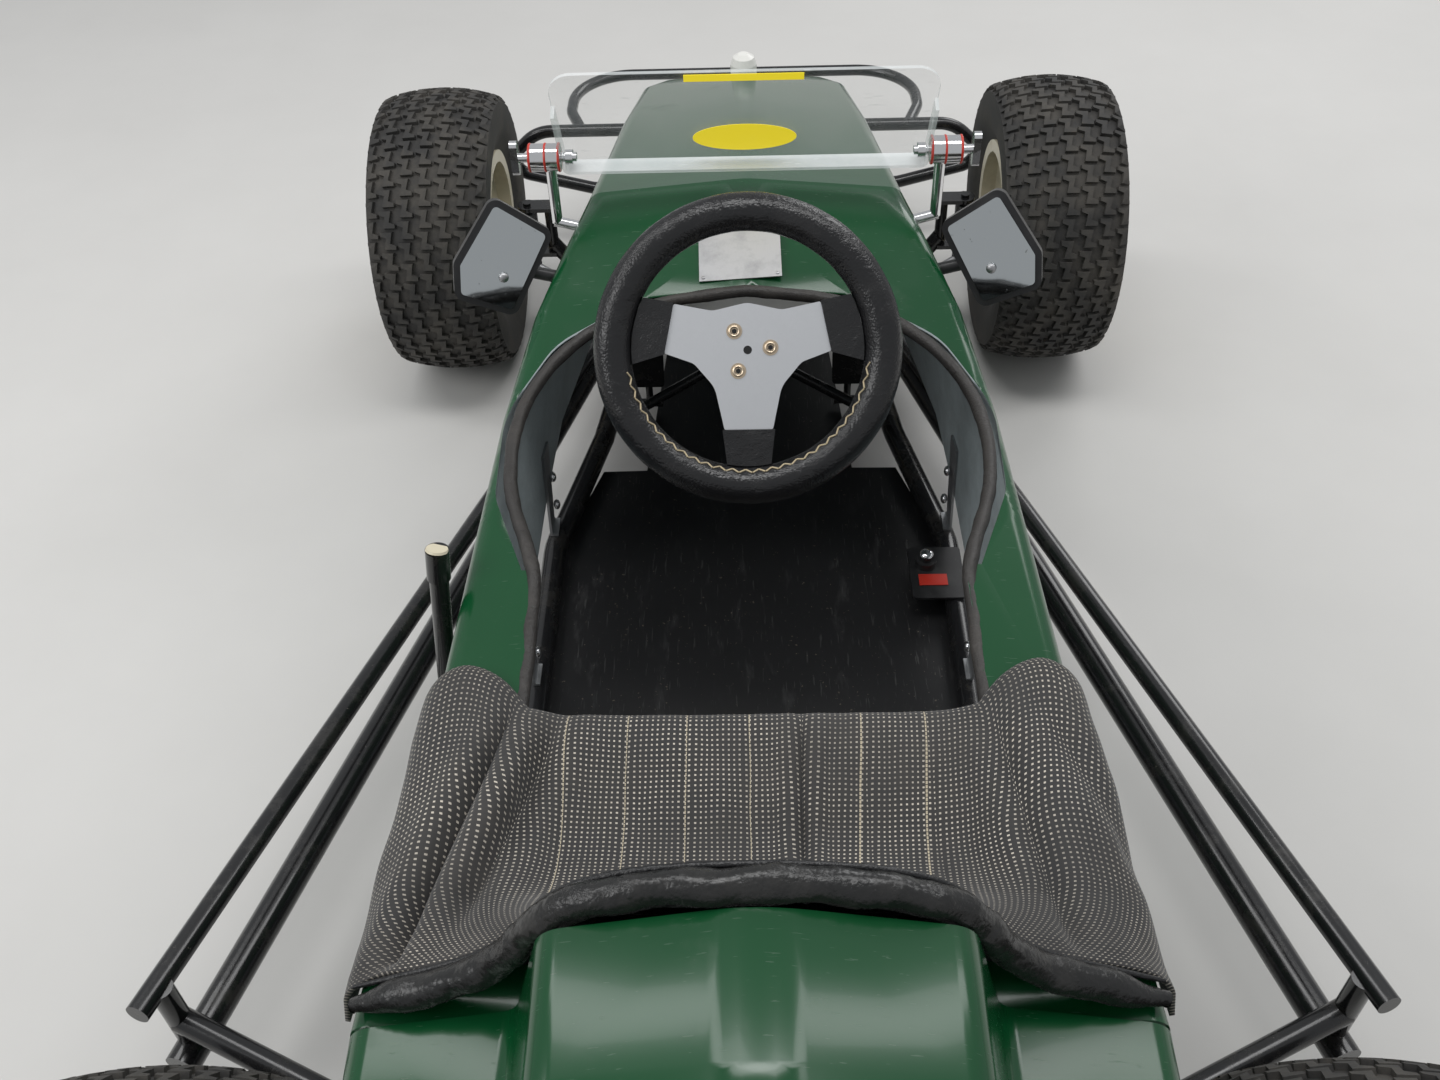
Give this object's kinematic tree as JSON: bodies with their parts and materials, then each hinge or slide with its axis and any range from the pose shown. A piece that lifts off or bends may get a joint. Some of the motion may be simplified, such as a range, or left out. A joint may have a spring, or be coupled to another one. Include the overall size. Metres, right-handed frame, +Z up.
{
  "type": "child's racing kart",
  "caption": "Petrol kart for a child, with single-seater bodywork, side bars, a hoop bumper, a clear windscreen, mirrors and small soft tyres.",
  "frame": {"origin": "on the floor, under the middle of the overall box", "axes": "+Y forwards, +X to the driver's right, +Z up"},
  "size_m": [1.104, 2.24, 0.6675],
  "materials": {
    "black_paint": "gloss",
    "black_floor": "scratched satin",
    "green_body": "gloss",
    "black_leather": "grained",
    "white_knob": "gloss",
    "clear_screen": "clear",
    "bright_metal": "polished",
    "black_plastic": "satin",
    "mirror_glass": "mirror",
    "seat_cloth": "dotted vinyl cloth",
    "roll_vinyl": "wrinkled",
    "bracket_metal": "dull",
    "engine_metal": "cast",
    "steel": "plated",
    "tyre": "dusty",
    "cream_rim": "satin",
    "wheel_leather": "worn",
    "spoke_plate": "satin"
  },
  "bodies": {
    "chassis": {"chassis_frame": "black_paint", "floor_pan": "black_floor", "front_bumper": "black_paint", "rear_bumper": "black_paint", "left_side_bars": "black_paint", "right_side_bars": "black_paint", "left_front_arms": "black_paint", "right_front_arms": "black_paint", "body_shell": "green_body", "engine_cover": "green_body", "cockpit_trim": "black_leather", "nose_knob": "white_knob", "windscreen": "clear_screen", "screen_clamps": "bright_metal", "left_mirror": "black_plastic", "right_mirror": "black_plastic", "mirror_glasses": "mirror_glass", "seat_cover": "seat_cloth", "seat_flaps": "seat_cloth", "head_roll": "roll_vinyl", "pedals": "black_plastic", "hand_lever": "black_paint", "stop_switch": "bright_metal", "steering_support": "black_paint", "body_brackets": "bracket_metal", "engine_block": "engine_metal"},
    "left_steering_knuckle": {"left_knuckle": "steel"},
    "right_steering_knuckle": {"right_knuckle": "steel"},
    "left_front_wheel": {"left_front_tyre": "tyre", "left_front_rim": "cream_rim"},
    "right_front_wheel": {"right_front_tyre": "tyre", "right_front_rim": "cream_rim"},
    "rear_wheels": {"rear_axle": "steel", "axle_sprocket": "steel", "brake_disc": "steel", "left_rear_tyre": "tyre", "right_rear_tyre": "tyre", "left_rear_rim": "cream_rim", "right_rear_rim": "cream_rim"},
    "steering": {"steering_column": "steel", "steering_rim": "wheel_leather", "steering_spokes": "spoke_plate", "spoke_covers": "black_plastic"},
    "left_rod": {"left_tie_rod": "steel"},
    "right_rod": {"right_tie_rod": "steel"}
  },
  "joints": [
    {"name": "steering_turn", "type": "hinge", "parent": "chassis", "child": "steering", "pos_m": [0, -0.031, 0.498], "axis": [0, 0.7955, -0.606], "range_deg": [-40, 40]},
    {"name": "left_steer", "type": "hinge", "parent": "chassis", "child": "left_steering_knuckle", "pos_m": [-0.32, 0.66, 0.203], "axis": [0, 0, 1], "range_deg": [-22, 22]},
    {"name": "right_steer", "type": "hinge", "parent": "chassis", "child": "right_steering_knuckle", "pos_m": [0.32, 0.66, 0.203], "axis": [0, 0, 1], "range_deg": [-22, 22]},
    {"name": "left_front_spin", "type": "hinge", "parent": "left_steering_knuckle", "child": "left_front_wheel", "pos_m": [-0.434, 0.66, 0.203], "axis": [1, 0, 0], "continuous": true},
    {"name": "right_front_spin", "type": "hinge", "parent": "right_steering_knuckle", "child": "right_front_wheel", "pos_m": [0.434, 0.66, 0.203], "axis": [1, 0, 0], "continuous": true},
    {"name": "rear_spin", "type": "hinge", "parent": "chassis", "child": "rear_wheels", "pos_m": [0, -0.84, 0.203], "axis": [1, 0, 0], "continuous": true},
    {"name": "left_rod_pivot", "type": "hinge", "parent": "left_steering_knuckle", "child": "left_rod", "pos_m": [-0.308, 0.592, 0.186], "axis": [0, 0, 1], "range_deg": [-22, 22]},
    {"name": "right_rod_pivot", "type": "hinge", "parent": "right_steering_knuckle", "child": "right_rod", "pos_m": [0.308, 0.592, 0.186], "axis": [0, 0, 1], "range_deg": [-22, 22]}
  ],
  "couplings": [
    {"joint": "left_steer", "follows": "steering_turn", "ratio": -0.55},
    {"joint": "right_steer", "follows": "steering_turn", "ratio": -0.55},
    {"joint": "left_rod_pivot", "follows": "steering_turn", "ratio": 0.55},
    {"joint": "right_rod_pivot", "follows": "steering_turn", "ratio": 0.55}
  ]
}
